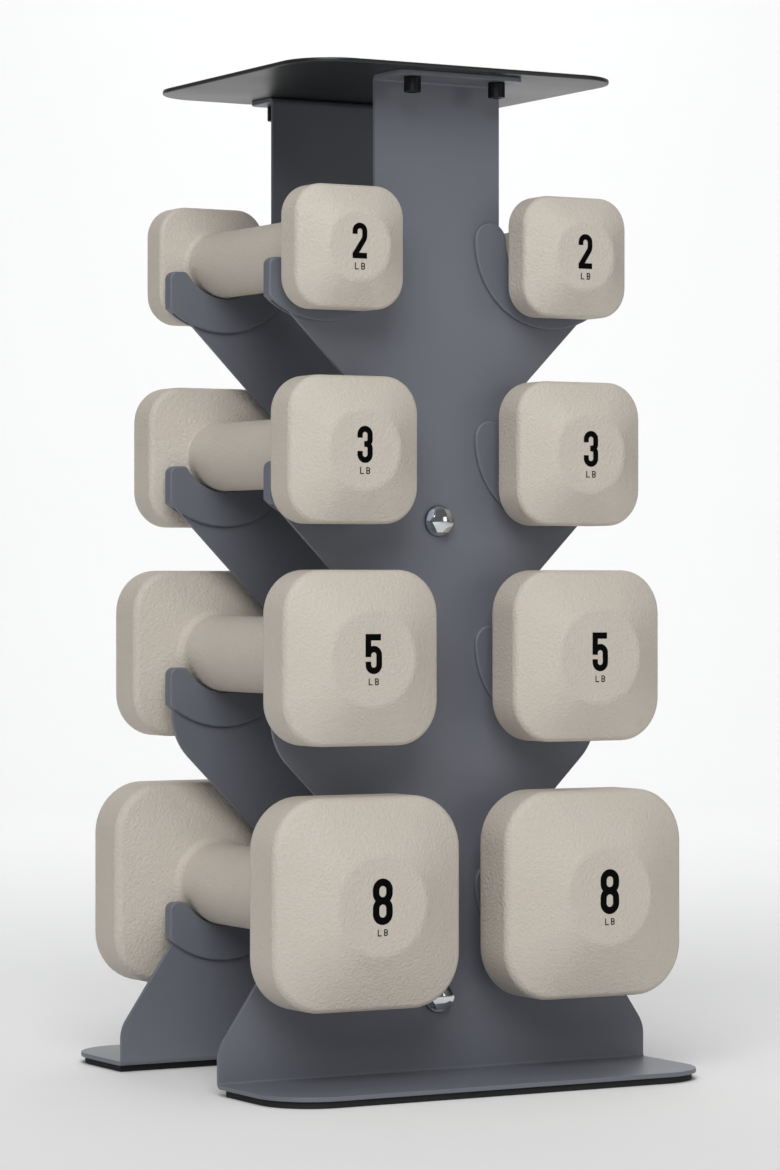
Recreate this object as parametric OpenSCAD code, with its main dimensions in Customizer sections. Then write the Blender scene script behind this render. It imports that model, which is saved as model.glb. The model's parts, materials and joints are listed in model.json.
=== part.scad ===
// Freestanding dumbbell tower: two folded sheet-steel uprights hold a left and a right
// column of four dumbbells in lined cradles, and a flat tray closes the top.
// Origin: on the ground under the middle of the tower. +X right, +Y to the back, +Z up.

/* [Uprights] */
// Thickness of the folded sheet
sheet_t = 2; // [1.5:0.25:2.5]
// Clear distance between the two uprights
plate_gap = 91; // [88:0.5:93]
// Width of the neck
neck_w = 62.4; // [60:0.2:62.4]
// Width across the outer horns of the sheet
horn_w = 162; // [162:0.2:164]
// Width and depth of the outline of the two feet
base_w = 213; // [208:1:222]
// Corner radius of a foot flange
foot_r = 25; // [10:1:28]
// Height at which the sheet starts to flare out to the foot
flare_top_z = 57; // [52:1:60]
// Height at which the flare reaches the full width
flare_low_z = 19.5; // [16:0.5:24]
// How far a top flange stands out from the sheet
top_flange_d = 21.5; // [19:0.5:24]

/* [Cradles] */
// Distance of each dumbbell's axis from the middle
axis_x = 56; // [56:0.1:57]
// Height of the lowest point of each seat, lowest tier first
seat_z = [63.2, 167.1, 256.3, 342.5];
// Radius of the seat
seat_r = 22.3; // [21.8:0.1:22.3]
// Width of the liner's band around the seat
band_w = 15.6; // [13:0.1:15.6]
// Width of the liner across its two side walls
liner_t = 6; // [5:0.25:7]
// Thickness of the liner over the edge of the sheet
liner_cover = 2.5; // [2.1:0.1:2.5]
// Depth of the outer horn's top below the middle of the seat
horn_drop = 11.2; // [10:0.1:13]
// Reach of the liner's outer side past the middle of the seat
horn_reach = 27.5; // [27.5:0.1:29]
// Rise from the middle of a seat to the next tier's sloping edge
slope_rise = 10.8; // [9.8:0.2:12]

/* [Dumbbells] */
// Nominal weights, lowest tier first
weights = [8, 5, 3, 2];
// Radius of each grip
grip_r = [18, 16.8, 15.2, 14.6];
// Half the width of each square head
head_s = [44.8, 37, 31.2, 26.1];
// Distance from the middle to each head's inner edge
head_in = [62.6, 60.1, 57.4, 56.2];
// Distance from the middle to each head's outer edge
head_out = [86, 80.4, 73.6, 70.2];
// Distance from the middle to each end face
face_y = [98, 90.4, 83, 78.6];
// Radius of each raised end disc
disc_r = [21.4, 20.2, 17.2, 14.8];
// Thickness of the soft coat
coat_t = 2; // [1.6:0.1:2.2]

/* [Tray and feet] */
// Width of the tray
tray_w = 159; // [150:1:175]
// Depth of the tray
tray_d = 154; // [148:1:175]
// Thickness of the tray
tray_t = 2; // [2:0.25:3]
// Corner radius of the tray
tray_r = 23; // [10:1:30]
// Height of the tray's underside
tray_z = 434; // [430:0.5:450]
// Thickness of a rubber foot pad
pad_t = 3; // [2:0.25:4]
// How far a pad is set in from the edge of its flange
pad_inset = 1.8; // [1:0.2:3]

/* [Fasteners] */
// Heights of the two spacer tubes
spacer_z = [36.5, 242.5];
// Outer diameter of a spacer tube
spacer_d = 16; // [12:1:18]
// Width across the flats of a bolt head
hex_af = 10; // [9:0.5:11]
// Height of a bolt head
hex_h = 4.8; // [4:0.2:5]
// Diameter of a washer
washer_d = 13.4; // [12:0.2:15]
// Thickness of a washer
washer_t = 1.4; // [1:0.1:1.6]
// Diameter of a tray screw's head
cap_d = 7.4; // [6:0.2:8]
// Height of a tray screw's head
cap_h = 6.8; // [4:0.2:8]
// Place of the tray screws in one quarter, from the middle
cap_xy = [21, 62];

/* [Hidden] */
STEEL = "#666a72";
TRAY = "#1b1c1d";
LINER = "#5f646d";
COAT = "#c5bdb2";
RUBBER = "#2a2a2d";
CHROME = "#c9ccd0";
IRON = "#4a4c50";
BLACK = "#26262a";

inner_y = plate_gap / 2;
outer_y = inner_y + sheet_t;
mid_y = inner_y + sheet_t / 2;
bend_r = 1;
foot_top = pad_t + sheet_t;
fold_y = outer_y + bend_r;
neck_x = neck_w / 2;
horn_x = horn_w / 2;
base_x = base_w / 2;
cut_r = seat_r + liner_cover;
flare_r = 15;
shoulder_r = 25;
steps = 16;
grip_clear = 0.3;
bolt_d = 6;
screw_d = 4;
screw_bite = 1.5;
rim_steps = 4;
heads_round = 0.5;
TIERS = [0:3];
SIDES = ["left", "right"];
PLATES = ["front", "rear"];

function liner_name(i, plate, side) = str("liner_", weights[i], "lb_", plate, "_", side);
function coat_name(i, side) = str("coat_", weights[i], "lb_", side);
function core_name(i, side) = str("core_", weights[i], "lb_", side);
function seat_mid_z(i) = seat_z[i] + seat_r;
function axis_z(i) = seat_z[i] + grip_r[i] + grip_clear;
function flip(points) = [for (k = [len(points) - 1:-1:0]) [-points[k][0], points[k][1]]];

// Points of an arc about [x, z] from angle a to angle b
function arc(x, z, r, a, b, n = steps) =
    [for (k = [0:n]) let (t = a + (b - a) * k / n) [x + r * cos(t), z + r * sin(t)]];

// Lower half of a seat cut, from the outer horn's tip round to the neck
function seat_cut(x, z, r) = arc(x, z, r, -asin((horn_drop + liner_cover) / r), -180);

// Edge of one tier above the lowest: slope, shoulder, outer horn and seat
function tier_edge(i) =
    let (z = seat_mid_z(i), low = seat_mid_z(i - 1) + slope_rise)
    let (r = i == 1 ? shoulder_r : 2, corner = low + horn_x - neck_x)
    concat(
        [[neck_x, low]],
        arc(horn_x - r, corner + r * tan(22.5), r, -45, 0, 8),
        [[horn_x, z - horn_drop - liner_cover]],
        seat_cut(axis_x, z, cut_r)
    );

// Right-hand edge of an upright from the foot to the top
function right_edge() =
    let (a = atan((base_x - horn_x) / (flare_top_z - flare_low_z)))
    concat(
        [[base_x, foot_top + bend_r]],
        arc(base_x - flare_r, flare_low_z - flare_r * tan(a / 2), flare_r, 0, a, 6),
        [[horn_x, flare_top_z], [horn_x, seat_mid_z(0) - horn_drop - liner_cover]],
        seat_cut(axis_x, seat_mid_z(0), cut_r),
        [for (i = [1:3]) each tier_edge(i)],
        [[neck_x, tray_z - sheet_t - bend_r]]
    );

// A flat outline in X and Z, given a thickness t and moved so that it starts at y
module standing(y, t) {
    translate([0, y + t, 0])
        rotate([90, 0, 0])
            linear_extrude(t)
                children();
}

// Rectangle from [x1, y1] to [x2, y2] whose far corners (at y2) are rounded
module flange_outline(half_w, y1, y2, r) {
    polygon(concat(
        [[half_w, y1]],
        arc(half_w - r, y2 - r, r, 0, 90),
        arc(r - half_w, y2 - r, r, 90, 180),
        [[-half_w, y1]]
    ));
}

// Quarter-round fold across the sheet; up is 1 for the top fold and -1 for the foot
module fold(half_w, z, up) {
    translate([-half_w, fold_y, z])
        rotate([90, 0, 90])
            linear_extrude(2 * half_w)
                polygon(concat(
                    arc(0, 0, bend_r + sheet_t, 180, 180 - 90 * up),
                    arc(0, 0, bend_r, 180 - 90 * up, 180)
                ));
}

// An upright with its outer face towards +Y
module upright() {
    flange_end = outer_y + top_flange_d;
    difference() {
        union() {
            standing(inner_y, sheet_t)
                polygon(concat(right_edge(), flip(right_edge())));
            fold(base_x, foot_top + bend_r, -1);
            fold(neck_x, tray_z - sheet_t - bend_r, 1);
            translate([0, 0, pad_t])
                linear_extrude(sheet_t)
                    flange_outline(base_x, fold_y, base_x, foot_r);
            translate([0, 0, tray_z - sheet_t])
                linear_extrude(sheet_t)
                    flange_outline(neck_x, fold_y, flange_end, 4.5);
        }
        for (z = spacer_z)
            translate([0, inner_y - 1, z])
                rotate([-90, 0, 0])
                    cylinder(h = sheet_t + 2, d = bolt_d + 0.5, $fn = 48);
        for (x = [-1, 1])
            translate([x * cap_xy[0], cap_xy[1], tray_z - sheet_t - 1])
                cylinder(h = sheet_t + 2, d = screw_d + 0.5, $fn = 48);
    }
}

module front_upright() {
    color(STEEL) mirror([0, 1, 0]) upright();
}

module rear_upright() {
    color(STEEL) upright();
}

// Flat tray with blind tapped holes for its four screws
module top_tray() {
    color(TRAY) difference() {
        translate([0, 0, tray_z])
            linear_extrude(tray_t)
                polygon(concat(
                    arc(tray_w / 2 - tray_r, tray_d / 2 - tray_r, tray_r, 0, 90),
                    arc(tray_r - tray_w / 2, tray_d / 2 - tray_r, tray_r, 90, 180),
                    arc(tray_r - tray_w / 2, tray_r - tray_d / 2, tray_r, 180, 270),
                    arc(tray_w / 2 - tray_r, tray_r - tray_d / 2, tray_r, 270, 360)
                ));
        for (x = [-1, 1], y = [-1, 1])
            translate([x * cap_xy[0], y * cap_xy[1], tray_z - 1])
                cylinder(h = screw_bite + 1, d = screw_d, $fn = 48);
    }
}

// Four screws with cylindrical heads under the top flanges
module tray_screws() {
    head_top = tray_z - sheet_t;
    color(BLACK)
        for (x = [-1, 1], y = [-1, 1])
            translate([x * cap_xy[0], y * cap_xy[1], 0]) {
                translate([0, 0, head_top - 1])
                    cylinder(h = sheet_t + screw_bite + 1, d = screw_d, $fn = 48);
                difference() {
                    translate([0, 0, head_top - cap_h])
                        cylinder(h = cap_h, d = cap_d, $fn = 64);
                    translate([0, 0, head_top - cap_h - 1])
                        cylinder(h = 3.2, d = 3.5, $fn = 6);
                }
            }
}

// Tube between the uprights, tapped for the bolts at both ends
module spacer(z) {
    color(STEEL)
        translate([0, inner_y, z])
            rotate([90, 0, 0])
                difference() {
                    cylinder(h = plate_gap, d = spacer_d, $fn = 96);
                    translate([0, 0, -1])
                        cylinder(h = plate_gap + 2, d = bolt_d, $fn = 48);
                }
}

module upper_spacer() {
    spacer(spacer_z[1]);
}

module lower_spacer() {
    spacer(spacer_z[0]);
}

// Calls its children once at each bolt, with +Z pointing out of the upright
module at_bolts(y) {
    for (z = spacer_z, s = [-1, 1])
        translate([0, s * y, z])
            rotate([-90 * s, 0, 0])
                children();
}

// Hexagon bolts with domed heads
module hex_bolts() {
    seat_y = outer_y + washer_t;
    dome_r = 11;
    color(CHROME) at_bolts(seat_y) {
        intersection() {
            cylinder(h = hex_h, d = hex_af / cos(30), $fn = 6);
            translate([0, 0, hex_h - dome_r])
                sphere(r = dome_r, $fn = 96);
        }
        translate([0, 0, -16])
            cylinder(h = 16, d = bolt_d, $fn = 48);
    }
}

module bolt_washers() {
    color(CHROME) at_bolts(outer_y)
        difference() {
            cylinder(h = washer_t, d = washer_d, $fn = 96);
            translate([0, 0, -1])
                cylinder(h = washer_t + 2, d = bolt_d + 0.4, $fn = 48);
        }
}

// Rubber pad under a foot flange, on the +Y side
module foot_pad() {
    color(RUBBER)
        linear_extrude(pad_t)
            flange_outline(base_x - pad_inset, fold_y + pad_inset, base_x - pad_inset, foot_r - pad_inset);
}

module front_foot_pad() {
    mirror([0, 1, 0]) foot_pad();
}

module rear_foot_pad() {
    foot_pad();
}

// Outline of a liner about the middle of its seat, outer horn towards +X
module liner_outline() {
    out_r = seat_r + band_w;
    cap_r = band_w / 2;
    sweep_r = 42;
    tip_r = 2.3;
    tip_z = -horn_drop - tip_r;
    tip_x = sqrt(pow(seat_r + tip_r, 2) - tip_z * tip_z);
    tip_a = atan2(-tip_z, -tip_x);
    side_r = 3.5;
    polygon(concat(
        arc(tip_x, tip_z, tip_r, 90, tip_a, 6),
        arc(0, 0, seat_r, tip_a - 180, -180, 24),
        arc(-seat_r - cap_r, 0, cap_r, 0, 180),
        arc(0, 0, out_r, 180, 270),
        arc(0, sweep_r - out_r, sweep_r, 270, 270 + asin(horn_reach / sweep_r), 10),
        arc(horn_reach - side_r, -horn_drop - side_r, side_r, 0, 90, 8)
    ));
}

// The part of the sheet that a liner grips, in the same place
module liner_slot() {
    far = 60;
    outer = horn_x - axis_x;
    polygon(concat(
        seat_cut(0, 0, cut_r),
        [[-cut_r, far], [-far, far], [-far, -far], [outer, -far], [outer, -horn_drop - liner_cover]]
    ));
}

// Liner of tier i, on the rear upright and the right-hand side
module liner(i) {
    color(LINER)
        translate([axis_x, 0, seat_mid_z(i)])
            difference() {
                standing(mid_y - liner_t / 2, liner_t) liner_outline();
                standing(inner_y, sheet_t) liner_slot();
            }
}

// Ring of a dumbbell at distance y: a square of half width h with corners of radius c
function ring(y, h, c) =
    [for (q = [0:3], k = [0:rim_steps])
        let (a = 90 * q + 90 * k / rim_steps, m = 90 * q + 45, d = (h - c) * sqrt(2))
        [d * cos(m) + c * cos(a), y, d * sin(m) + c * sin(a)]];

// Rings of one half of a dumbbell, from the grip out to the end disc, set in by a depth t
function half_rings(i, t, edge) =
    let (r = grip_r[i] - t, s = head_s[i] - t, c = heads_round * head_s[i] - t, p = disc_r[i] - t)
    let (y0 = outer_y + 2.4 + t / 2, y1 = head_in[i] + t, y2 = head_out[i] - t / 2, y3 = face_y[i] - t)
    let (e = 3, lip = c - e / 2)
    concat(
        [for (f = edge ? [0, 0.06, 0.2, 0.45, 0.8] : [0, 0.2, 0.45, 0.8])
            ring(y0 + (y1 - y0) * pow(f, 0.6), r + (s - e - r) * f, r + (lip - r) * f)],
        edge ? [ring(y1 + e * 0.5, s - e * 0.2, c)] : [],
        [ring(y1 + e * 1.3, s, c), ring(y2 - e * 1.3, s, c)],
        edge ? [ring(y2 - e * 0.5, s - e * 0.2, c)] : [],
        [ring(y2 + e * 0.2, s - e, lip)],
        [for (f = edge ? [0.5, 1] : [1])
            ring(y2 + (y3 - 0.8 - y2) * f, (s - e) + (p - s + e) * f, lip + (p - lip) * f)],
        edge ? [ring(y3, p - 1, p - 1)] : []
    );

// Solid through the rings: both halves joined by the grip
module dumbbell_solid(i, t, edge) {
    out = half_rings(i, t, edge);
    n = 4 * (rim_steps + 1);
    m = len(out);
    back = [for (k = [m - 1:-1:0]) [for (v = out[k]) [v[0], -v[1], v[2]]]];
    rings = concat(back, out);
    last = (2 * m - 1) * n;
    points = [for (g = rings) each g];
    sides = [for (j = [0:2 * m - 2], k = [0:n - 1])
        let (a = j * n + k, b = j * n + (k + 1) % n)
        each [[a, b, a + n], [b, b + n, a + n]]];
    polyhedron(
        points = points,
        faces = concat(sides, [[for (k = [n - 1:-1:0]) k], [for (k = [0:n - 1]) last + k]]),
        convexity = 6
    );
}

// Puts a left or right piece of tier i on its axis
module on_axis(i, side) {
    translate([side == "left" ? -axis_x : axis_x, 0, axis_z(i)])
        children();
}

// Cast-iron body of a dumbbell
module core(i, side) {
    color(IRON) on_axis(i, side) dumbbell_solid(i, coat_t, false);
}

// Soft coat all round the iron
module coat(i, side) {
    color(COAT) on_axis(i, side) difference() {
        dumbbell_solid(i, 0, true);
        dumbbell_solid(i, coat_t, false);
    }
}

front_upright();
rear_upright();
top_tray();
tray_screws();
upper_spacer();
lower_spacer();
hex_bolts();
bolt_washers();
front_foot_pad();
rear_foot_pad();
for (i = TIERS, p = [0, 1], s = [0, 1])
    mirror([1 - s, 0, 0]) mirror([0, 1 - p, 0]) liner(i);
for (i = TIERS, s = SIDES)
    coat(i, s);
for (i = TIERS, s = SIDES)
    core(i, s);
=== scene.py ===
"""Dresses a freestanding dumbbell tower: folded steel uprights, lined cradles and eight coated dumbbells.

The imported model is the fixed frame. Every piece here takes its place from it, in metres, +Z up, with the
front of the tower towards -Y. Sizes that the frame doesn't give are fields of the classes, in metres.
"""

import json
import logging
import math
from collections.abc import Callable, Iterator
from contextlib import contextmanager
from dataclasses import dataclass, field
from enum import Enum

import bmesh
import bpy
from bpy.types import Material, NodeSocket, NodeTree, Object, ShaderNode
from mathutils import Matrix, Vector


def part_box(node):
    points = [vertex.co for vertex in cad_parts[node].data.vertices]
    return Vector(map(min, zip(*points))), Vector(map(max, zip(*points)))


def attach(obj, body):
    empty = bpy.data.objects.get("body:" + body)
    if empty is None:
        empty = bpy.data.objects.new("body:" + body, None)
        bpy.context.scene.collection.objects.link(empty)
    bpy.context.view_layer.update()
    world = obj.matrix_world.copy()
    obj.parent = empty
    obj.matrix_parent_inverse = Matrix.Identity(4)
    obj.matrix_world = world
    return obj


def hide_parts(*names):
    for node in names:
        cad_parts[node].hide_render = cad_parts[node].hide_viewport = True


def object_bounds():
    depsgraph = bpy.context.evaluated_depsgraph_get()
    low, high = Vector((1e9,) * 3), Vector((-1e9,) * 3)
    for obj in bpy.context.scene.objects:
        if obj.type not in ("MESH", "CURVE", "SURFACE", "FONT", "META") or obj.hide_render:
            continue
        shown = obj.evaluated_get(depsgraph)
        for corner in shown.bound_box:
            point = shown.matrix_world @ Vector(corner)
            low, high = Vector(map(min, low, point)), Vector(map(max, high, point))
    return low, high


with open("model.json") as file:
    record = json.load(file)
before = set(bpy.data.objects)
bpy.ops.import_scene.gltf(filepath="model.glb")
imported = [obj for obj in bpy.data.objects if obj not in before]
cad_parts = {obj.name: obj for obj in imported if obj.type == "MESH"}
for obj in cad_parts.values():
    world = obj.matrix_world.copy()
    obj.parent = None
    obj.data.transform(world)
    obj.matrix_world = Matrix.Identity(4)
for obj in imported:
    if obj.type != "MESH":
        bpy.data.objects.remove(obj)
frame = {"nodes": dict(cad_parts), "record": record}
CAD_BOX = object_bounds()

LOG = logging.getLogger("dumbbell_tower")
MM = 0.001
DETAILED = "_detailed"

# How far apart two places may be and still count as one.
NEAR = 0.02 * MM
# Angles in degrees: faces that fold by less are one face, and edges that fold by more are sharp.
FLAT_FOLD = 0.5
SHARP_FOLD = 30
# Cosines: a face that looks roughly, closely or squarely along a direction.
ROUGHLY, CLOSELY, SQUARELY = 0.9, 0.99, 0.999
# How strongly a broad face holds its own normal against its narrow neighbours, in percent.
BROAD_FACE_WEIGHT = 80


class Side(Enum):
    """The column in which a dumbbell lies."""

    LEFT = "left"
    RIGHT = "right"


class Plate(Enum):
    """One of the two uprights, with the pad under its foot, by the end of the tower where it stands."""

    FRONT = "front"
    REAR = "rear"


# ---------------------------------------------------------------- bench work


def pick(*pieces: Object) -> None:
    """Select these pieces and nothing else, and make the first one active.

    Args:
        pieces: The objects that the next operator acts on.
    """
    bpy.ops.object.select_all(action="DESELECT")
    for piece in pieces:
        piece.select_set(True)
    bpy.context.view_layer.objects.active = pieces[0]


def settle(piece: Object, name: str) -> Object:
    """Name a piece and put its place, turn and scale into its mesh.

    Args:
        piece: The object to settle at the origin.
        name: Its name from now on.

    Returns:
        The same object.
    """
    pick(piece)
    bpy.ops.object.transform_apply(location=True, rotation=True, scale=True)
    piece.name = name
    piece.data.name = name
    return piece


@contextmanager
def editing(piece: Object) -> Iterator[None]:
    """Open a piece in edit mode with nothing selected, and close it again.

    Args:
        piece: The mesh object to work on.

    Yields:
        Nothing, once the piece is open.
    """
    pick(piece)
    bpy.ops.object.mode_set(mode="EDIT")
    bpy.ops.mesh.select_mode(type="FACE")
    bpy.ops.mesh.select_all(action="DESELECT")
    yield
    bpy.ops.object.mode_set(mode="OBJECT")


def choose_faces(piece: Object, test: Callable[[bmesh.types.BMFace], bool]) -> None:
    """Select just the faces of an open piece that pass a test.

    Args:
        piece: The object that is open in edit mode.
        test: Says whether a face is wanted, by its place or normal.
    """
    bpy.ops.mesh.select_mode(type="FACE")
    bpy.ops.mesh.select_all(action="DESELECT")
    mesh = bmesh.from_edit_mesh(piece.data)
    mesh.normal_update()
    for face in mesh.faces:
        face.select_set(test(face))
    bmesh.update_edit_mesh(piece.data)


def choose_edges(piece: Object, test: Callable[[Vector, Vector], bool]) -> None:
    """Select just the edges of an open piece whose two ends pass a test.

    Args:
        piece: The object that is open in edit mode.
        test: Says whether an edge between two points is wanted.
    """
    bpy.ops.mesh.select_mode(type="EDGE")
    bpy.ops.mesh.select_all(action="DESELECT")
    mesh = bmesh.from_edit_mesh(piece.data)
    for edge in mesh.edges:
        edge.select_set(test(edge.verts[0].co, edge.verts[1].co))
    bmesh.update_edit_mesh(piece.data)


def round_chosen(width: float, segments: int) -> None:
    """Round the chosen edges off.

    Args:
        width: How far back from the edge the rounding starts, in metres.
        segments: Number of facets across it.
    """
    bpy.ops.mesh.bevel(
        offset_type="OFFSET",
        offset=width,
        segments=segments,
        profile=0.5,
        affect="EDGES",
        clamp_overlap=False,
    )


def finish_modifier(piece: Object, kind: str, **settings: object) -> None:
    """Give a piece one modifier and apply it.

    Args:
        piece: The object to modify.
        kind: Blender's name of the modifier's type.
        settings: The modifier's own settings.
    """
    pick(piece)
    bpy.ops.object.modifier_add(type=kind)
    modifier = piece.modifiers[-1]
    for name, value in settings.items():
        setattr(modifier, name, value)
    bpy.ops.object.modifier_apply(modifier=modifier.name)


def smooth(piece: Object, limit: float = 40.0) -> None:
    """Shade a piece smoothly up to an angle, with broad faces kept flat.

    Args:
        piece: The object to shade.
        limit: The sharpest fold that still looks smooth, in degrees.
    """
    pick(piece)
    bpy.ops.object.shade_smooth_by_angle(angle=math.radians(limit), keep_sharp_edges=False)
    finish_modifier(piece, "WEIGHTED_NORMAL", keep_sharp=True, weight=BROAD_FACE_WEIGHT)


def copy_of(piece: Object, name: str, move: Vector, turn: float = 0.0) -> Object:
    """Copy a piece with a mesh of its own.

    Args:
        piece: The piece to copy, settled at the origin.
        name: The copy's name.
        move: How far the copy is moved.
        turn: How far it is turned about the upright axis first, in degrees.

    Returns:
        The copy, settled at the origin.
    """
    pick(piece)
    bpy.ops.object.duplicate(linked=False)
    copy = bpy.context.active_object
    copy.rotation_euler.z = math.radians(turn)
    copy.location = move
    return settle(copy, name)


def joined(pieces: list[Object], name: str) -> Object:
    """Join pieces into one object, without uniting their solids.

    Args:
        pieces: The pieces to join.
        name: Name of the result.

    Returns:
        The joined object, settled at the origin.
    """
    pick(*pieces)
    bpy.ops.object.join()
    return settle(bpy.context.active_object, name)


def fused(pieces: list[Object]) -> Object:
    """Unite overlapping solids into one solid.

    Args:
        pieces: The solids. The first one stays, and the others go into it.

    Returns:
        The first solid, now one with the others.
    """
    body, *others = pieces
    for other in others:
        finish_modifier(body, "BOOLEAN", operation="UNION", solver="EXACT", object=other)
        bpy.data.objects.remove(other)
    return body


def box(low: Vector, high: Vector) -> Object:
    """Add a block between two corners.

    Args:
        low: Its lowest corner.
        high: Its highest corner.

    Returns:
        The block, settled at the origin.
    """
    bpy.ops.object.select_all(action="DESELECT")
    bpy.ops.mesh.primitive_cube_add(size=1, location=(low + high) / 2)
    block = bpy.context.active_object
    block.scale = high - low
    return settle(block, "block")


def softened(
    node: str,
    width: float,
    segments: int,
    keep: Callable[[Vector, Vector], bool] | None = None,
) -> Object:
    """Copy a CAD node, merge its triangles into whole faces and round its sharp edges.

    Args:
        node: Name of the CAD node. The copy then stands for it.
        width: Width of the rounding, in metres.
        segments: Number of facets across it.
        keep: Says which of the sharp edges are rounded, by their ends; all of them if it is left out.

    Returns:
        The copy, which rides on the node's body.
    """
    source = frame["nodes"][node]
    piece = bpy.data.objects.new(node + DETAILED, source.data.copy())
    bpy.context.scene.collection.objects.link(piece)
    with editing(piece):
        bpy.ops.mesh.select_all(action="SELECT")
        bpy.ops.mesh.customdata_custom_splitnormals_clear()
        bpy.ops.mesh.remove_doubles(threshold=NEAR)
        bpy.ops.mesh.dissolve_limited(angle_limit=math.radians(FLAT_FOLD))
        bpy.ops.mesh.select_mode(type="EDGE")
        bpy.ops.mesh.select_all(action="DESELECT")
        bpy.ops.mesh.edges_select_sharp(sharpness=math.radians(SHARP_FOLD))
        if keep is not None:
            mesh = bmesh.from_edit_mesh(piece.data)
            for edge in [e for e in mesh.edges if e.select]:
                edge.select_set(keep(edge.verts[0].co, edge.verts[1].co))
            bmesh.update_edit_mesh(piece.data)
        round_chosen(width, segments)
    smooth(piece)
    return stand_for(piece, node)


def stand_for(piece: Object, node: str) -> Object:
    """Let a piece ride on a CAD node's body, in its place, and hide the node.

    Args:
        piece: The finished piece.
        node: Name of the CAD node that it replaces.

    Returns:
        The same piece.
    """
    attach(piece, body_of(node))
    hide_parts(node)
    return piece


def body_of(node: str) -> str:
    """Return the name of the body that a CAD node belongs to."""
    bodies = frame["record"]["behaviour"]["bodies"]
    return next(body for body, nodes in bodies.items() if node in nodes)


# ---------------------------------------------------------------- finishes


def linear(colour: str) -> tuple[float, ...]:
    """Turn an sRGB hex colour into the linear RGBA that a shader takes."""
    parts = [int(colour[i : i + 2], 16) / 255 for i in (1, 3, 5)]
    return (*[c / 12.92 if c <= 0.04045 else ((c + 0.055) / 1.055) ** 2.4 for c in parts], 1.0)


def add(tree: NodeTree, kind: str, inputs: dict[str | int, object], **settings: object) -> ShaderNode:
    """Add one node to a material with its settings and links.

    Args:
        tree: The material's node tree.
        kind: The node's type, without ShaderNode in front.
        inputs: Each input's value, or the output socket that feeds it.
        settings: The node's own settings.

    Returns:
        The new node.
    """
    node = tree.nodes.new("ShaderNode" + kind)
    for name, value in settings.items():
        setattr(node, name, value)
    for socket, value in inputs.items():
        if isinstance(value, NodeSocket):
            tree.links.new(value, node.inputs[socket])
        else:
            node.inputs[socket].default_value = value
    return node


@dataclass(frozen=True)
class Finish:
    """What all finishes share: a name, two close tones, a gloss and a fine relief.

    The relief is a noise whose grain is a real size. A finish with a pattern of its own
    overrides relief().

    Attributes:
        name: Name of the material, for the real one.
        tone: Its main sRGB colour.
        second_tone: The colour that it drifts to in soft patches.
        roughness: Its mean roughness.
        roughness_spread: How far the roughness drifts to each side.
        grain: Size of the relief's grain, in metres.
        relief_depth: Height of the relief, in metres.
        patch: Size of the patches in which tone and roughness drift, in metres.
        metallic: 1 for bare metal and 0 for anything else.
        shine: Strength of the mirror reflection of what isn't metal; 0.5 is that of the default IOR.
    """

    name: str
    tone: str
    second_tone: str
    roughness: float
    roughness_spread: float
    grain: float
    relief_depth: float
    patch: float = 25 * MM
    metallic: float = 0.0
    shine: float = 0.5

    def relief(self, tree: NodeTree, place: NodeSocket) -> NodeSocket:
        """Build the fine relief.

        Args:
            tree: The material's node tree.
            place: Object coordinates.

        Returns:
            Its height, from 0 to 1.
        """
        noise = {"Vector": place, "Scale": 1 / self.grain, "Detail": 2.0, "Roughness": 0.5}
        return add(tree, "TexNoise", noise).outputs["Fac"]

    def material(self) -> Material:
        """Return the material, which is built the first time it is asked for."""
        if self.name in bpy.data.materials:
            return bpy.data.materials[self.name]
        material = bpy.data.materials.new(self.name)
        material.use_nodes = True
        tree = material.node_tree
        shader = tree.nodes["Principled BSDF"]
        shader.inputs["Metallic"].default_value = self.metallic
        shader.inputs["Specular IOR Level"].default_value = self.shine
        place = add(tree, "TexCoord", {}).outputs["Object"]
        drift = {"Vector": place, "Scale": 1 / self.patch, "Detail": 3.0}
        patches = add(tree, "TexNoise", drift).outputs["Fac"]
        tones = {"Fac": patches, "Color1": linear(self.tone), "Color2": linear(self.second_tone)}
        gloss = {
            "Value": patches,
            "From Min": 0.3,
            "From Max": 0.7,
            "To Min": self.roughness - self.roughness_spread,
            "To Max": self.roughness + self.roughness_spread,
        }
        height = self.relief(tree, place)
        bump = add(tree, "Bump", {"Height": height, "Strength": 1.0, "Distance": self.relief_depth})
        for socket, source in {
            "Base Color": add(tree, "MixRGB", tones).outputs["Color"],
            "Roughness": add(tree, "MapRange", gloss).outputs["Result"],
            "Normal": bump.outputs["Normal"],
        }.items():
            tree.links.new(source, shader.inputs[socket])
        return material

    def dress(self, *pieces: Object) -> None:
        """Put the material on pieces, in place of whatever they have.

        Args:
            pieces: The pieces to dress.
        """
        for piece in pieces:
            if not piece.material_slots:
                piece.data.materials.append(None)
            for slot in piece.material_slots:
                slot.material = self.material()


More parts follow.
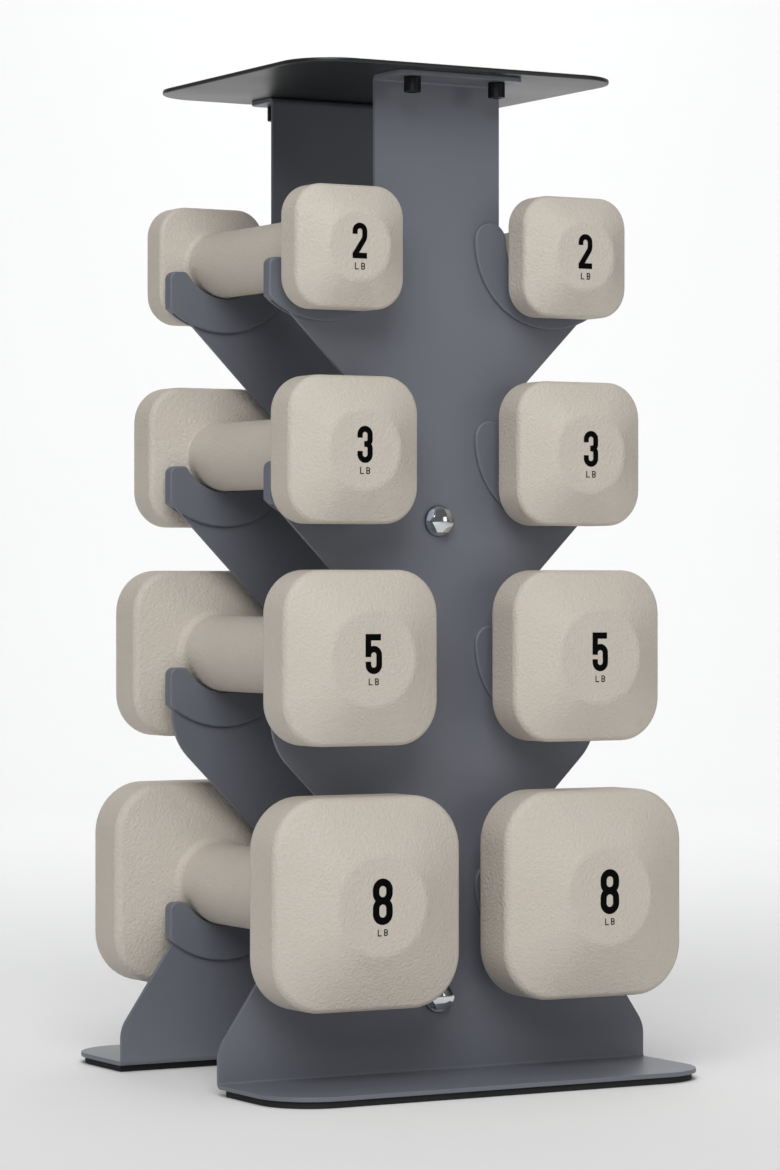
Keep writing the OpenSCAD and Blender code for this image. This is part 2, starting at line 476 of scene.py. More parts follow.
@dataclass(frozen=True)
class LeatherGrain(Finish):
    """A finish whose relief is small rounded cells, like the grain of leather.

    Attributes:
        waver: How far the cells are pushed out of line, in grains.
        waver_scale: How quickly that push changes, against the grain.
        cell_share: Height of the cells, as a share of the relief.
        fine_scale: How much finer the noise on the cells is than the grain.
        fine_share: Height of that noise, as a share of the relief.
    """

    waver: float = 0.35
    waver_scale: float = 0.4
    cell_share: float = 0.8
    fine_scale: float = 2.2
    fine_share: float = 0.5

    def relief(self, tree: NodeTree, place: NodeSocket) -> NodeSocket:
        """Build the cells, which waver and carry a finer noise.

        Args:
            tree: The material's node tree.
            place: Object coordinates.

        Returns:
            Their height.
        """
        slow = {"Vector": place, "Scale": self.waver_scale / self.grain, "Detail": 1.0}
        reach = (self.waver * self.grain,) * 3
        push = {0: add(tree, "TexNoise", slow).outputs["Color"], 1: reach, 2: place}
        moved = add(tree, "VectorMath", push, operation="MULTIPLY_ADD").outputs["Vector"]
        cells = {"Vector": moved, "Scale": 1 / self.grain, "Smoothness": 0.5}
        distance = add(tree, "TexVoronoi", cells, feature="SMOOTH_F1").outputs["Distance"]
        noise = {"Vector": place, "Scale": self.fine_scale / self.grain, "Detail": 2.0}
        fine = add(tree, "TexNoise", noise).outputs["Fac"]
        lift = {0: distance, 1: -self.cell_share, 2: self.cell_share}
        lifted = add(tree, "Math", lift, operation="MULTIPLY_ADD").outputs[0]
        total = {0: fine, 1: self.fine_share, 2: lifted}
        return add(tree, "Math", total, operation="MULTIPLY_ADD").outputs[0]


# A grain finer than 0.4 mm doesn't show at the size of a render, so none is drawn finer than that.

# Polyester powder baked on mild steel: a satin grey with a blue cast, even, with a faint orange peel.
POWDER_COAT = Finish(
    name="steel_powder_coated_satin",
    tone="#6a6d76",
    second_tone="#6f727b",
    roughness=0.42,
    roughness_spread=0.04,
    grain=0.9 * MM,
    relief_depth=0.02 * MM,
    patch=60 * MM,
)
# The same powder in black on the tray: satin, so that it takes a grey sheen where it is seen edge-on.
BLACK_POWDER_COAT = Finish(
    name="steel_powder_coated_black",
    tone="#1a1b1c",
    second_tone="#1e1f20",
    roughness=0.36,
    roughness_spread=0.04,
    grain=0.9 * MM,
    relief_depth=0.02 * MM,
    patch=60 * MM,
)
# Glass-filled nylon from a spark-eroded mould: a matt grey near the steel's, finely stippled. The stipple is
# about 0.1 mm on the real material and is drawn coarser.
MOULDED_NYLON = Finish(
    name="nylon_moulded_spark_textured",
    tone="#686c75",
    second_tone="#6d717a",
    roughness=0.5,
    roughness_spread=0.05,
    grain=0.5 * MM,
    relief_depth=0.02 * MM,
)
# Vinyl moulded over iron in a grained mould: a warm stone tone, soft to the eye, with a fine leather grain.
MOULDED_VINYL = LeatherGrain(
    name="vinyl_moulded_leather_grain",
    tone="#cdc5ba",
    second_tone="#c7beb2",
    roughness=0.56,
    roughness_spread=0.04,
    grain=1.15 * MM,
    relief_depth=0.33 * MM,
    shine=0.4,
)
# Pad-printed ink, dried to a thin film: a flat near-black that takes almost no shine.
PRINTED_INK = Finish(
    name="ink_pad_printed_black",
    tone="#020202",
    second_tone="#050505",
    roughness=0.7,
    roughness_spread=0.05,
    grain=0.8 * MM,
    relief_depth=0.01 * MM,
    patch=4 * MM,
    shine=0.06,
)
# Cold-headed steel, chrome plated: a cool mirror with a very faint haze where it was polished.
CHROME_PLATE = Finish(
    name="steel_chrome_plated_polished",
    tone="#dfe1e4",
    second_tone="#d5d8dc",
    roughness=0.09,
    roughness_spread=0.03,
    grain=0.7 * MM,
    relief_depth=0.004 * MM,
    patch=3 * MM,
    metallic=1.0,
)
# Pressed steel, zinc plated and passivated: a duller and darker grey than the chrome beside it.
ZINC_PLATE = Finish(
    name="steel_zinc_plated_dark",
    tone="#7a7d83",
    second_tone="#6f7278",
    roughness=0.32,
    roughness_spread=0.06,
    grain=0.6 * MM,
    relief_depth=0.006 * MM,
    patch=3 * MM,
    metallic=1.0,
)
# Steel screws, chemically blackened and oiled: a dark metal with a dull sheen on its edges.
BLACK_OXIDE = Finish(
    name="steel_black_oxide_oiled",
    tone="#2a2a2c",
    second_tone="#343437",
    roughness=0.42,
    roughness_spread=0.08,
    grain=0.4 * MM,
    relief_depth=0.01 * MM,
    patch=3 * MM,
    metallic=1.0,
)
# Nitrile rubber, compression moulded: a soft black that takes almost no shine.
MOULDED_RUBBER = Finish(
    name="rubber_nitrile_moulded",
    tone="#19191b",
    second_tone="#202022",
    roughness=0.8,
    roughness_spread=0.06,
    grain=0.6 * MM,
    relief_depth=0.03 * MM,
)
# Grey iron as it left the sand: dark and rough, with the sand's pits in its skin.
SAND_CAST_IRON = Finish(
    name="iron_grey_sand_cast",
    tone="#3b3b3c",
    second_tone="#48474a",
    roughness=0.68,
    roughness_spread=0.08,
    grain=1.2 * MM,
    relief_depth=0.12 * MM,
    patch=12 * MM,
    metallic=1.0,
)
# Matt studio paper, off the roll: white, with only the faintest tooth.
STUDIO_PAPER = Finish(
    name="paper_studio_matt_white",
    tone="#f6f6f6",
    second_tone="#f3f3f3",
    roughness=0.9,
    roughness_spread=0.03,
    grain=4 * MM,
    relief_depth=0.02 * MM,
    patch=600 * MM,
)


# ---------------------------------------------------------------- uprights, tray and feet


@dataclass
class Structure:
    """The folded uprights, the tray, the liners and the pads: cut and moulded parts with softened edges.

    Attributes:
        sheet_edge: Width of the rounding of the uprights' edges.
        tray_edge: Width of the rounding of the tray's edges.
        pad_edge: Width of the rounding of the pads' edges.
        liner_edge: Width of the rounding of the liners' outlines.
        sheet_steps: Facets across a rounding of the sheets and pads.
        liner_steps: Facets across a rounding of the liners.
        pieces: The finished pieces.
    """

    sheet_edge: float = 0.35 * MM
    tray_edge: float = 0.6 * MM
    pad_edge: float = 0.5 * MM
    liner_edge: float = 0.9 * MM
    sheet_steps: int = 2
    liner_steps: int = 4
    pieces: list[Object] = field(default_factory=list)

    def build(self) -> None:
        """Make every sheet, liner and pad."""
        for plate in Plate:
            self.add_sheet(f"{plate.value}_upright", self.sheet_edge, POWDER_COAT)
            self.add_sheet(f"{plate.value}_foot_pad", self.pad_edge, MOULDED_RUBBER)
        self.add_sheet("top_tray", self.tray_edge, BLACK_POWDER_COAT)
        for node in sorted(n for n in frame["nodes"] if n.startswith("liner_")):
            self.add_liner(node)

    def add_sheet(self, node: str, edge: float, finish: Finish) -> None:
        """Make one flat or folded part.

        Args:
            node: The CAD node that gives its shape.
            edge: Width of its rounded edges, in metres.
            finish: What it is made of.
        """
        piece = softened(node, edge, self.sheet_steps)
        finish.dress(piece)
        self.pieces.append(piece)

    def add_liner(self, node: str) -> None:
        """Make one moulded liner, whose outer outline is rounded on both of its faces.

        Args:
            node: The CAD node that gives its shape.
        """
        low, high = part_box(node)

        def on_face(a: Vector, b: Vector) -> bool:
            """Say whether an edge lies in the front or the rear face."""
            return any(abs(a.y - y) < NEAR and abs(b.y - y) < NEAR for y in (low.y, high.y))

        piece = softened(node, self.liner_edge, self.liner_steps, on_face)
        MOULDED_NYLON.dress(piece)
        self.pieces.append(piece)


# ---------------------------------------------------------------- fasteners


@dataclass
class Fasteners:
    """The chromed bolts on zinc-plated washers, the blackened tray screws and the hidden spacers.

    Attributes:
        bolt_edge: Width of the chamfer round the top of a bolt's head.
        washer_edge: Width of the rounding of a washer's rims.
        screw_edge: Width of the rounding of a screw head's rims.
        pieces: The finished pieces.
    """

    bolt_edge: float = 1.2 * MM
    washer_edge: float = 0.5 * MM
    screw_edge: float = 0.5 * MM
    pieces: list[Object] = field(default_factory=list)

    def build(self) -> None:
        """Make the fasteners and dress the spacers, which keep their CAD shape."""
        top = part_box("hex_bolts")[1].y

        def on_top(a: Vector, b: Vector) -> bool:
            """Say whether an edge lies in the outer face of a bolt's head."""
            return min(abs(a.y), abs(b.y)) > top - NEAR

        for node, edge, segments, keep, finish in (
            ("hex_bolts", self.bolt_edge, 1, on_top, CHROME_PLATE),
            ("bolt_washers", self.washer_edge, 2, None, ZINC_PLATE),
            ("tray_screws", self.screw_edge, 3, None, BLACK_OXIDE),
        ):
            piece = softened(node, edge, segments, keep)
            finish.dress(piece)
            self.pieces.append(piece)
        POWDER_COAT.dress(frame["nodes"]["upper_spacer"], frame["nodes"]["lower_spacer"])


# ---------------------------------------------------------------- dumbbells


@dataclass(frozen=True)
class Size:
    """What the frame doesn't say about one size of dumbbell, in metres.

    Attributes:
        weight: Marked weight, in pounds.
        grip: Radius of the grip.
        inner: Distance from the middle to a head's inner rim.
        outer: Distance from the middle to a head's outer rim.
        disc: Radius of the raised disc on an end face.
        digit: Height of the digit on that disc.
    """

    weight: int
    grip: float
    inner: float
    outer: float
    disc: float
    digit: float


SIZES = (
    Size(8, grip=18.0 * MM, inner=62.6 * MM, outer=86.0 * MM, disc=21.0 * MM, digit=19.3 * MM),
    Size(5, grip=16.8 * MM, inner=60.1 * MM, outer=80.4 * MM, disc=20.2 * MM, digit=16.7 * MM),
    Size(3, grip=15.2 * MM, inner=56.2 * MM, outer=73.6 * MM, disc=17.2 * MM, digit=15.5 * MM),
    Size(2, grip=14.6 * MM, inner=56.2 * MM, outer=70.2 * MM, disc=14.8 * MM, digit=15.0 * MM),
)


@dataclass
class Dumbbells:
    """One left and one right dumbbell of a size: an iron core in a moulded coat, marked on both ends.

    Attributes:
        size: The size of dumbbell.
        corner_steps: Facets round each corner of a head.
        side_steps: Facets along each straight side of a head.
        corner_share: Corner radius of a head, as a share of half its width.
        rim_share: Width of the rounding of a head's outer rim, as a share of half its width.
        inner_rim: Width of the rounding of its inner rim, against that of the outer rim.
        rim_steps: Facets across the rounding of a rim.
        disc_edge: Width of the rounding of the disc's edge.
        disc_steps: Facets across it.
        disc_inset: Width of the band that the disc's flat is divided by, as a share of its radius.
        inner_slope: How much the inner face leans towards the grip, as rise over run.
        flare_start: Distance from the middle at which the grip starts to flare.
        flare_steps: Facets along the flare.
        smooth_fold: The sharpest fold of the coat that still looks smooth, in degrees.
        pieces: The finished pieces.
    """

    size: Size
    corner_steps: int = 12
    side_steps: int = 16
    corner_share: float = 0.5
    rim_share: float = 0.06
    inner_rim: float = 1.2
    rim_steps: int = 6
    disc_edge: float = 1.3 * MM
    disc_steps: int = 4
    disc_inset: float = 0.25
    inner_slope: float = 0.35
    flare_start: float = 50.0 * MM
    flare_steps: int = 8
    smooth_fold: float = 50.0
    pieces: list[Object] = field(default_factory=list)

    def node(self, part: str, side: Side) -> str:
        """Return the CAD node of a part, core or coat, of the dumbbell on one side."""
        return f"{part}_{self.size.weight}lb_{side.value}"

    @property
    def low(self) -> Vector:
        """Lowest corner of the left coat."""
        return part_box(self.node("coat", Side.LEFT))[0]

    @property
    def high(self) -> Vector:
        """Highest corner of the left coat."""
        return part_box(self.node("coat", Side.LEFT))[1]

    @property
    def centre(self) -> Vector:
        """Middle of the left dumbbell."""
        return (self.low + self.high) / 2

    @property
    def half(self) -> float:
        """Half the width of a head."""
        return (self.high.x - self.low.x) / 2

    @property
    def face(self) -> float:
        """Distance from the middle to an end face."""
        return self.high.y

    @property
    def root(self) -> float:
        """Distance from the middle at which an inner face meets the grip."""
        return self.size.inner - self.inner_slope * (self.half - self.size.grip)

    @property
    def across(self) -> Vector:
        """Step from the left dumbbell to the right one."""
        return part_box(self.node("coat", Side.RIGHT))[0] - self.low

    def ring(self, y: float, radius: float, **settings: object) -> Object:
        """Add a circle across the dumbbell's axis, with as many points as a head has round it.

        Args:
            y: Its place along the axis.
            radius: Its radius.
            settings: Further settings of the primitive.

        Returns:
            The circle as a mesh object.
        """
        points = 4 * (self.corner_steps + self.side_steps)
        bpy.ops.object.select_all(action="DESELECT")
        bpy.ops.mesh.primitive_circle_add(
            vertices=points,
            radius=radius,
            location=(self.centre.x, y, self.centre.z),
            rotation=(math.pi / 2, 0, 0),
            **settings,
        )
        return settle(bpy.context.active_object, "ring")

    def head_sleeve(self) -> Object:
        """Make the straight band round a head: a block with rounded corners and no ends."""
        middle, half = self.centre, self.half
        reach = Vector((half, 0, half))
        at = Vector((middle.x, 0, middle.z))
        inner, outer = Vector((0, self.size.inner, 0)), Vector((0, self.size.outer, 0))
        sleeve = box(at - reach + inner, at + reach + outer)
        with editing(sleeve):
            choose_edges(sleeve, lambda a, b: abs(a.y - b.y) > NEAR)
            round_chosen(self.corner_share * half, self.corner_steps)
            choose_faces(sleeve, lambda f: abs(f.normal.y) > ROUGHLY)
            bpy.ops.mesh.delete(type="ONLY_FACE")
            choose_edges(sleeve, lambda a, b: abs(a.y - b.y) < NEAR and (a - b).length > half / 2)
            bpy.ops.mesh.subdivide(number_cuts=self.side_steps - 1)
        return sleeve

    def half_coat(self) -> Object:
        """Make the coat's rear half from its rings, with straight faces between them."""
        size, root = self.size, self.root
        middle = self.ring(0, size.grip)
        neck = self.ring(root, size.grip)
        disc = self.ring(self.face, size.disc, fill_type="NGON")
        body = joined([self.head_sleeve(), middle, neck, disc], "coat")
        with editing(body):
            for low, high in ((0, root), (root, size.inner), (size.outer, self.face)):
                choose_edges(
                    body,
                    lambda a, b, low=low, high=high: abs(a.y - b.y) < NEAR
                    and min(abs(a.y - low), abs(a.y - high)) < NEAR,
                )
                bpy.ops.mesh.bridge_edge_loops()
        return body

    def coat(self) -> Object:
        """Make the left dumbbell's coat, with round rims, a flared grip and softly raised end discs."""
        size, root = self.size, self.root
        body = self.half_coat()
        finish_modifier(body, "MIRROR", use_axis=(False, True, False), merge_threshold=NEAR)
        rim = self.rim_share * self.half
        rounds = (
            (root, root - self.flare_start, self.flare_steps),
            (size.inner, rim * self.inner_rim, self.rim_steps),
            (size.outer, rim, self.rim_steps),
            (self.face, self.disc_edge, self.disc_steps),
        )
        with editing(body):
            bpy.ops.mesh.select_all(action="SELECT")
            bpy.ops.mesh.remove_doubles(threshold=NEAR)
            bpy.ops.mesh.normals_make_consistent(inside=False)
            for y, width, segments in rounds:
                choose_edges(body, lambda a, b, y=y: abs(abs(a.y) - y) < NEAR and abs(a.y - b.y) < NEAR)
                round_chosen(width, segments)
            choose_faces(body, lambda f: abs(f.normal.y) > SQUARELY and len(f.verts) > 4)
            bpy.ops.mesh.inset(thickness=size.disc * self.disc_inset)
        smooth(body, self.smooth_fold)
        return body

    def build(self) -> None:
        """Make both dumbbells of this size and dress their cores."""
        coat = self.coat()
        mark = Mark(self.size, self.centre, self.face).build()
        for side in Side:
            move = Vector() if side is Side.LEFT else self.across
            node = self.node("coat", side)
            piece = stand_for(copy_of(coat, node + DETAILED, move), node)
            MOULDED_VINYL.dress(piece)
            print_piece = copy_of(mark, f"mark_{self.size.weight}lb_{side.value}", move)
            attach(print_piece, body_of(node))
            PRINTED_INK.dress(print_piece)
            SAND_CAST_IRON.dress(frame["nodes"][self.node("core", side)])
            self.pieces += [piece, print_piece]
        for model in (coat, mark):
            bpy.data.objects.remove(model)


# Headings of a stroke, in degrees clockwise from straight up.
UPWARD, RIGHTWARD, DOWNWARD = 0, 90, 180


@dataclass
class Stroke:
    """A flat bar drawn in the XZ plane: it starts as a block and goes on in straights and turns.

    Attributes:
        at: Where its middle line ends so far.
        heading: The way it goes, in degrees clockwise from straight up, seen from the front.
        width: Its width.
        depth: Its thickness along Y.
        arc_step: About how far each facet of an arc turns, in degrees.
        piece: The bar so far.
    """

    at: Vector
    heading: float
    width: float
    depth: float
    arc_step: float = 10.0
    piece: Object | None = None

    def way(self, turned: float = 0.0) -> Vector:
        """Return the direction of the heading, turned clockwise by some degrees."""
        angle = math.radians(self.heading + turned)
        return Vector((math.sin(angle), 0, math.cos(angle)))

    def choose_end(self) -> None:
        """Select the face at the end of the bar."""

        def at_end(face: bmesh.types.BMFace) -> bool:
            """Say whether a face closes the bar where it ends."""
            near = (face.calc_center_median() - self.at).length < self.width / 4
            return near and face.normal.dot(self.way()) > CLOSELY

        choose_faces(self.piece, at_end)

    def straight(self, length: float) -> "Stroke":
        """Go straight on.

        Args:
            length: How far, in metres.

        Returns:
            This stroke.
        """
        step = self.way() * length
        if self.piece is None:
            bpy.ops.object.select_all(action="DESELECT")
            turn = (0, math.radians(self.heading), 0)
            bpy.ops.mesh.primitive_cube_add(size=1, location=self.at + step / 2, rotation=turn)
            block = bpy.context.active_object
            block.scale = (self.width, self.depth, length)
            self.piece = settle(block, "stroke")
        else:
            with editing(self.piece):
                self.choose_end()
                bpy.ops.mesh.extrude_region_move(TRANSFORM_OT_translate={"value": step})
        self.at += step
        return self

    def turn(self, angle: float, radius: float) -> "Stroke":
        """Go on round an arc.

        Args:
            angle: How far, in degrees, clockwise if above zero.
            radius: Radius of the middle line.

        Returns:
            This stroke.
        """
        side = math.copysign(90, angle)
        centre = self.at + self.way(side) * radius
        steps = max(2, round(abs(angle) / self.arc_step))
        with editing(self.piece):
            self.choose_end()
            bpy.ops.mesh.spin(steps=steps, angle=math.radians(angle), center=centre, axis=(0, -1, 0))
            bpy.ops.mesh.select_all(action="SELECT")
            bpy.ops.mesh.normals_make_consistent(inside=False)
        self.at = centre - self.way(side + angle) * radius
        self.heading += angle
        return self


@dataclass
class Mark:
    """The weight on both ends of a dumbbell: a digit with the two letters of the unit under it.

    Attributes:
        size: The size of dumbbell.
        centre: Middle of the dumbbell.
        face: Distance from the middle to an end face.
        stroke_share: Width of the digit's strokes, as a share of its height.
        width_share: Width of the digit, as a share of its height.
        unit_height: Height of the letters.
        unit_width: Width of a letter, as a share of its height.
        unit_space: Gap between the two letters, as a share of their height.
        unit_stroke: Width of their strokes.
        unit_gap: Gap between the digit and the letters.
        drop: How far the middle of the mark lies below the disc's.
        sunk: How deep the print reaches into the coat.
        proud: How far it stands out.
    """

    size: Size
    centre: Vector
    face: float
    stroke_share: float = 0.16
    width_share: float = 0.47
    unit_height: float = 2.85 * MM
    unit_width: float = 0.62
    unit_space: float = 0.44
    unit_stroke: float = 0.42 * MM
    unit_gap: float = 1.8 * MM
    drop: float = 0.5 * MM
    sunk: float = 0.1 * MM
    proud: float = 0.08 * MM

    def point(self, across: float, up: float) -> Vector:
        """Return a point of the print, by its place on the front end face."""
        depth = (self.sunk - self.proud) / 2 - self.face
        return Vector((self.centre.x + across, depth, self.centre.z + up))

    def bar(self, left: float, right: float, low: float, high: float) -> Object:
        """Add a straight bar of the print between four borders and return it."""
        corner = Vector((0, (self.sunk + self.proud) / 2, 0))
        return box(self.point(left, low) - corner, self.point(right, high) + corner)

    def stroke(self, across: float, up: float, heading: float, width: float) -> Stroke:
        """Return a stroke of the print that starts at a place, with a heading and a width."""
        return Stroke(self.point(across, up), heading, width, self.sunk + self.proud)

    @property
    def tall(self) -> float:
        """Height of the digit."""
        return self.size.digit

    @property
    def thick(self) -> float:
        """Width of its strokes."""
        return self.stroke_share * self.tall

    @property
    def half(self) -> float:
        """Half its width."""
        return self.width_share * self.tall / 2

    @property
    def reach(self) -> float:
        """Distance from its middle to the middle line of a stroke at its side."""
        return self.half - self.thick / 2

    @property
    def middle(self) -> float:
        """Height of its middle above the disc's."""
        return (self.unit_gap + self.unit_height) / 2 - self.drop

    @property
    def top(self) -> float:
        """Height of its top above the disc's middle."""
        return self.middle + self.tall / 2

    @property
    def foot(self) -> float:
        """Height of its foot above the disc's middle."""
        return self.middle - self.tall / 2

    def build(self) -> Object:
        """Draw the mark on the front end, copy it to the rear end and return both as one piece."""
        draw = {8: self.eight, 5: self.five, 3: self.three, 2: self.two}[self.size.weight]
        front = joined([fused(draw()), *self.unit()], "mark")
        turned = copy_of(front, "rear_mark", Vector((2 * self.centre.x, 0, 0)), 180)
        return joined([front, turned], "mark")

    def unit(self) -> list[Object]:
        """Return the two letters of the unit, one solid for each."""
        thick, tall = self.unit_stroke, self.unit_height
        base = self.foot - self.unit_gap - tall
        wide, apart = tall * self.unit_width, tall * self.unit_space
        left = -apart / 2 - wide
        upright = self.bar(left, left + thick, base, base + tall)
        letter_l = fused([upright, self.bar(left + thick / 2, -apart / 2, base, base + thick)])
        stem = apart / 2
        bowl = (tall - thick) / 4
        flat = wide - bowl - thick / 2
        solids = [self.bar(stem, stem + thick, base, base + tall)]
        for top in (tall - thick / 2, tall / 2):
            pen = self.stroke(stem + thick / 2, base + top, RIGHTWARD, thick)
            solids.append(pen.straight(flat - thick / 2).turn(180, bowl).straight(flat - thick / 2).piece)
        return [letter_l, fused(solids)]

    def eight(self) -> list[Object]:
        """Return the solids of an 8, which is two tall rings that share a bar."""
        widening, waist_rise = 0.02, 0.02
        thick = self.thick
        reach = (self.width_share + widening) * self.tall / 2 - thick / 2
        waist = self.middle + waist_rise * self.tall
        solids = []
        for top, bottom in ((self.top - thick / 2, waist), (waist, self.foot + thick / 2)):
            side = (top - bottom) - 2 * reach
            left = (-reach, top - reach - side / 2, UPWARD)
            right = (reach, bottom + reach + side / 2, DOWNWARD)
            for across, up, heading in (left, right):
                pen = self.stroke(across, up, heading, thick)
                solids.append(pen.straight(side / 2).turn(180, reach).straight(side / 2).piece)
        return solids

    def five(self) -> list[Object]:
        """Return the solids of a 5: a bar, a stem and an open bowl."""
        shares = (0.205, 0.31, 0.04, 0.03, 0.075)
        bowl_rise, mouth, lip, bar_short, stem_drop = (share * self.tall for share in shares)
        thick, half, reach, top, foot = self.thick, self.half, self.reach, self.top, self.foot
        bowl_top = self.middle + bowl_rise
        hook = foot + thick / 2 + reach
        pen = self.stroke(-reach, foot + mouth, DOWNWARD, thick)
        pen.straight(foot + mouth - hook).turn(-180, reach)
        pen.straight(bowl_top - thick / 2 - reach - hook).turn(-180, reach).straight(lip)
        return [
            self.bar(-half, half - bar_short, top - thick, top),
            self.bar(-half, thick - half, self.middle - stem_drop, top - thick / 2),
            pen.piece,
        ]

    def three(self) -> list[Object]:
        """Return the solids of a 3: two open bowls that meet in a short bar."""
        bend, mouth, bar_rise, bar_length = (share * self.tall for share in (0.12, 0.32, 0.01, 0.06))
        thick, reach = self.thick, self.reach
        bar = self.middle + bar_rise
        solids = []
        for way, end, heading in ((1, self.top, UPWARD), (-1, self.foot, DOWNWARD)):
            start = end - way * mouth
            crown = end - way * (thick / 2 + reach)
            pen = self.stroke(-reach, start, heading, thick)
            pen.straight(abs(crown - start)).turn(180 * way, reach)
            pen.straight(abs(crown - bar) - bend).turn(90 * way, bend).straight(bar_length)
            solids.append(pen.piece)
        return solids

    def two(self) -> list[Object]:
        """Return the solids of a 2: a crook that runs down to a foot bar."""
        upper, lower, mouth, bar_short = (share * self.tall for share in (0.25, 0.12, 0.32, 0.01))
        thick, half, reach, top, foot = self.thick, self.half, self.reach, self.top, self.foot
        lean = 34.0
        across, up = math.sin(math.radians(lean)), math.cos(math.radians(lean))
        slant = (2 * reach - (upper + lower) * (1 - up)) / across
        fall = (upper + lower) * across + slant * up
        crown = top - thick / 2 - reach
        start = top - mouth
        end = foot + thick / 2
        pen = self.stroke(-reach, start, UPWARD, thick)
        pen.straight(crown - start).turn(180, reach).straight(crown - fall - end)
        pen.turn(lean, upper).straight(slant).turn(-lean, lower)
        return [self.bar(-half, half - bar_short, foot, foot + thick), pen.piece]


# ---------------------------------------------------------------- studio


@dataclass(frozen=True)
class Softbox:
    """One square studio light, aimed at a target.

    Attributes:
        name: Its name.
        azimuth: Where it stands round its target, in degrees; 0 is the front and 90 the right.
        elevation: How high it stands, in degrees above the target.
        distance: Distance from the target.
        width: Side of its square.
        power: Its power, in watts.
    """

    name: str
    azimuth: float
    elevation: float
    distance: float
    width: float
    power: float

    def build(self, target: Vector) -> None:
        """Hang the light and turn it towards its target.

        Args:
            target: The point that it lights.
        """
        turn, rise = math.radians(self.azimuth), math.radians(self.elevation)
        way = Vector((math.sin(turn) * math.cos(rise), -math.cos(turn) * math.cos(rise), math.sin(rise)))
        bpy.ops.object.light_add(type="AREA", location=target + way * self.distance)
        light = bpy.context.active_object
        light.name = self.name
        light.rotation_euler = (-way).to_track_quat("-Z", "Y").to_euler()
        light.data.size = self.width
        light.data.energy = self.power


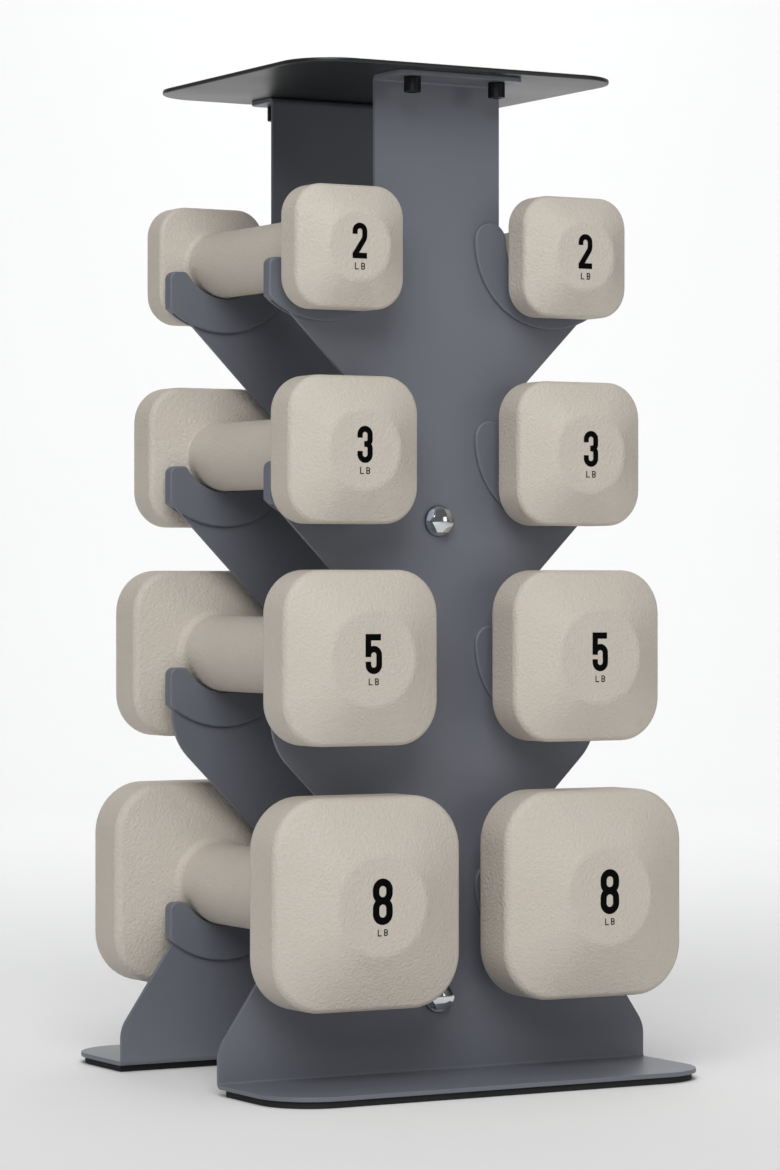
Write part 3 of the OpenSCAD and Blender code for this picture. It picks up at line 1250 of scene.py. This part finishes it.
@dataclass
class Studio:
    """The paper sweep, the lights and the camera.

    Attributes:
        azimuth: Where the camera stands round the tower, in degrees; 0 is the front.
        aim: The way that it looks, as the azimuth that it looks back along.
        distance: Level distance from the tower's axis to the camera.
        height: Height of the camera, which looks level.
        lens: Its focal length, in millimetres.
        film: Width of its sensor, in millimetres.
        nearest: The shortest distance that it sees.
        farthest: The longest distance that it sees.
        floor_half: Half the width of the paper on the floor.
        wall_behind: Distance from the tower's axis to the paper's wall.
        wall_height: Height of that wall.
        bend: Radius of the bend between floor and wall.
        bend_steps: Facets round the bend.
        sky: Strength of the room's even light.
        seen_sky: Its strength where the camera sees it past the paper.
        sky_tone: Its sRGB colour.
        lights: The lights that are aimed at the tower's middle.
        backdrop: The light on the paper's wall, in line with the camera.
        glow_share: How far back that light aims, as a share of the way to the wall.
        glow_rise: How high it aims, as a share of the distance that it aims back.
    """

    azimuth: float = -29.63
    aim: float = -29.725
    distance: float = 1.7828
    height: float = 0.2148
    lens: float = 123.8
    film: float = 36.0
    nearest: float = 0.1
    farthest: float = 30.0
    floor_half: float = 4.0
    wall_behind: float = 3.7
    wall_height: float = 4.0
    bend: float = 1.6
    bend_steps: int = 24
    sky: float = 0.13
    seen_sky: float = 0.22
    sky_tone: str = "#f4f6fa"
    lights: tuple[Softbox, ...] = (
        Softbox("key_softbox", azimuth=-34, elevation=36, distance=3.4, width=2.2, power=80),
        Softbox("top_softbox", azimuth=-20, elevation=84, distance=2.4, width=1.4, power=14),
        Softbox("glint_softbox", azimuth=32, elevation=8, distance=2.6, width=0.8, power=2.6),
    )
    backdrop: Softbox = Softbox("backdrop_softbox", aim, elevation=45, distance=2.2, width=1.6, power=42)
    glow_share: float = 0.85
    glow_rise: float = 0.25

    @property
    def behind(self) -> Vector:
        """Level direction from the camera past the tower to the wall."""
        turn = math.radians(self.aim)
        return Vector((-math.sin(turn), math.cos(turn), 0))

    def build(self) -> None:
        """Set the studio up round the tower."""
        low, high = CAD_BOX
        self.add_sweep(low.z)
        self.add_camera()
        self.add_sky()
        for light in self.lights:
            light.build((low + high) / 2)
        way = self.behind + Vector((0, 0, self.glow_rise))
        self.backdrop.build(way * self.wall_behind * self.glow_share)

    def add_sweep(self, ground: float) -> None:
        """Lay the paper on the ground and curve it up behind the tower.

        Args:
            ground: Height of the floor.
        """
        bpy.ops.object.select_all(action="DESELECT")
        bpy.ops.mesh.primitive_plane_add(size=2 * self.floor_half, location=(0, 0, ground))
        sweep = settle(bpy.context.active_object, "paper_sweep")
        back = self.floor_half
        with editing(sweep):
            choose_edges(sweep, lambda a, b: a.y > back - NEAR and b.y > back - NEAR)
            bpy.ops.mesh.extrude_region_move(TRANSFORM_OT_translate={"value": (0, 0, self.wall_height)})
            choose_edges(sweep, lambda a, b: min(a.y, b.y) > back - NEAR and max(a.z, b.z) < ground + NEAR)
            round_chosen(self.bend, self.bend_steps)
        sweep.rotation_euler.z = math.radians(self.aim)
        sweep.location = self.behind * (self.wall_behind - self.floor_half)
        settle(sweep, "paper_sweep")
        smooth(sweep)
        STUDIO_PAPER.dress(sweep)

    def add_camera(self) -> None:
        """Stand the camera in front of the tower, a little to its left."""
        turn = math.radians(self.azimuth)
        place = (math.sin(turn) * self.distance, -math.cos(turn) * self.distance, self.height)
        bpy.ops.object.camera_add(location=place, rotation=(math.pi / 2, 0, math.radians(self.aim)))
        camera = bpy.context.active_object
        camera.name = "portrait_camera"
        camera.data.sensor_width = self.film
        camera.data.lens = self.lens
        camera.data.clip_start = self.nearest
        camera.data.clip_end = self.farthest
        bpy.context.scene.camera = camera

    def add_sky(self) -> None:
        """Fill the room with even pale light."""
        world = bpy.data.worlds.new("pale_room")
        world.use_nodes = True
        tree = world.node_tree
        glow = tree.nodes["Background"]
        glow.inputs["Color"].default_value = linear(self.sky_tone)
        seen = add(tree, "LightPath", {}).outputs["Is Camera Ray"]
        either = {0: seen, 1: self.seen_sky - self.sky, 2: self.sky}
        strength = add(tree, "Math", either, operation="MULTIPLY_ADD").outputs[0]
        tree.links.new(strength, glow.inputs["Strength"])
        bpy.context.scene.world = world
        bpy.context.scene.view_settings.view_transform = "Standard"


def main() -> None:
    """Build the tower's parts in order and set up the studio."""
    logging.basicConfig(level=logging.INFO, format="%(name)s: %(message)s")
    sub_assemblies = [Structure(), Fasteners(), *(Dumbbells(size) for size in SIZES)]
    for part in sub_assemblies:
        part.build()
        for piece in part.pieces:
            LOG.info("%s: %d faces", piece.name, len(piece.data.polygons))
    Studio().build()
    bpy.ops.object.select_all(action="DESELECT")


if __name__ == "__main__":
    main()
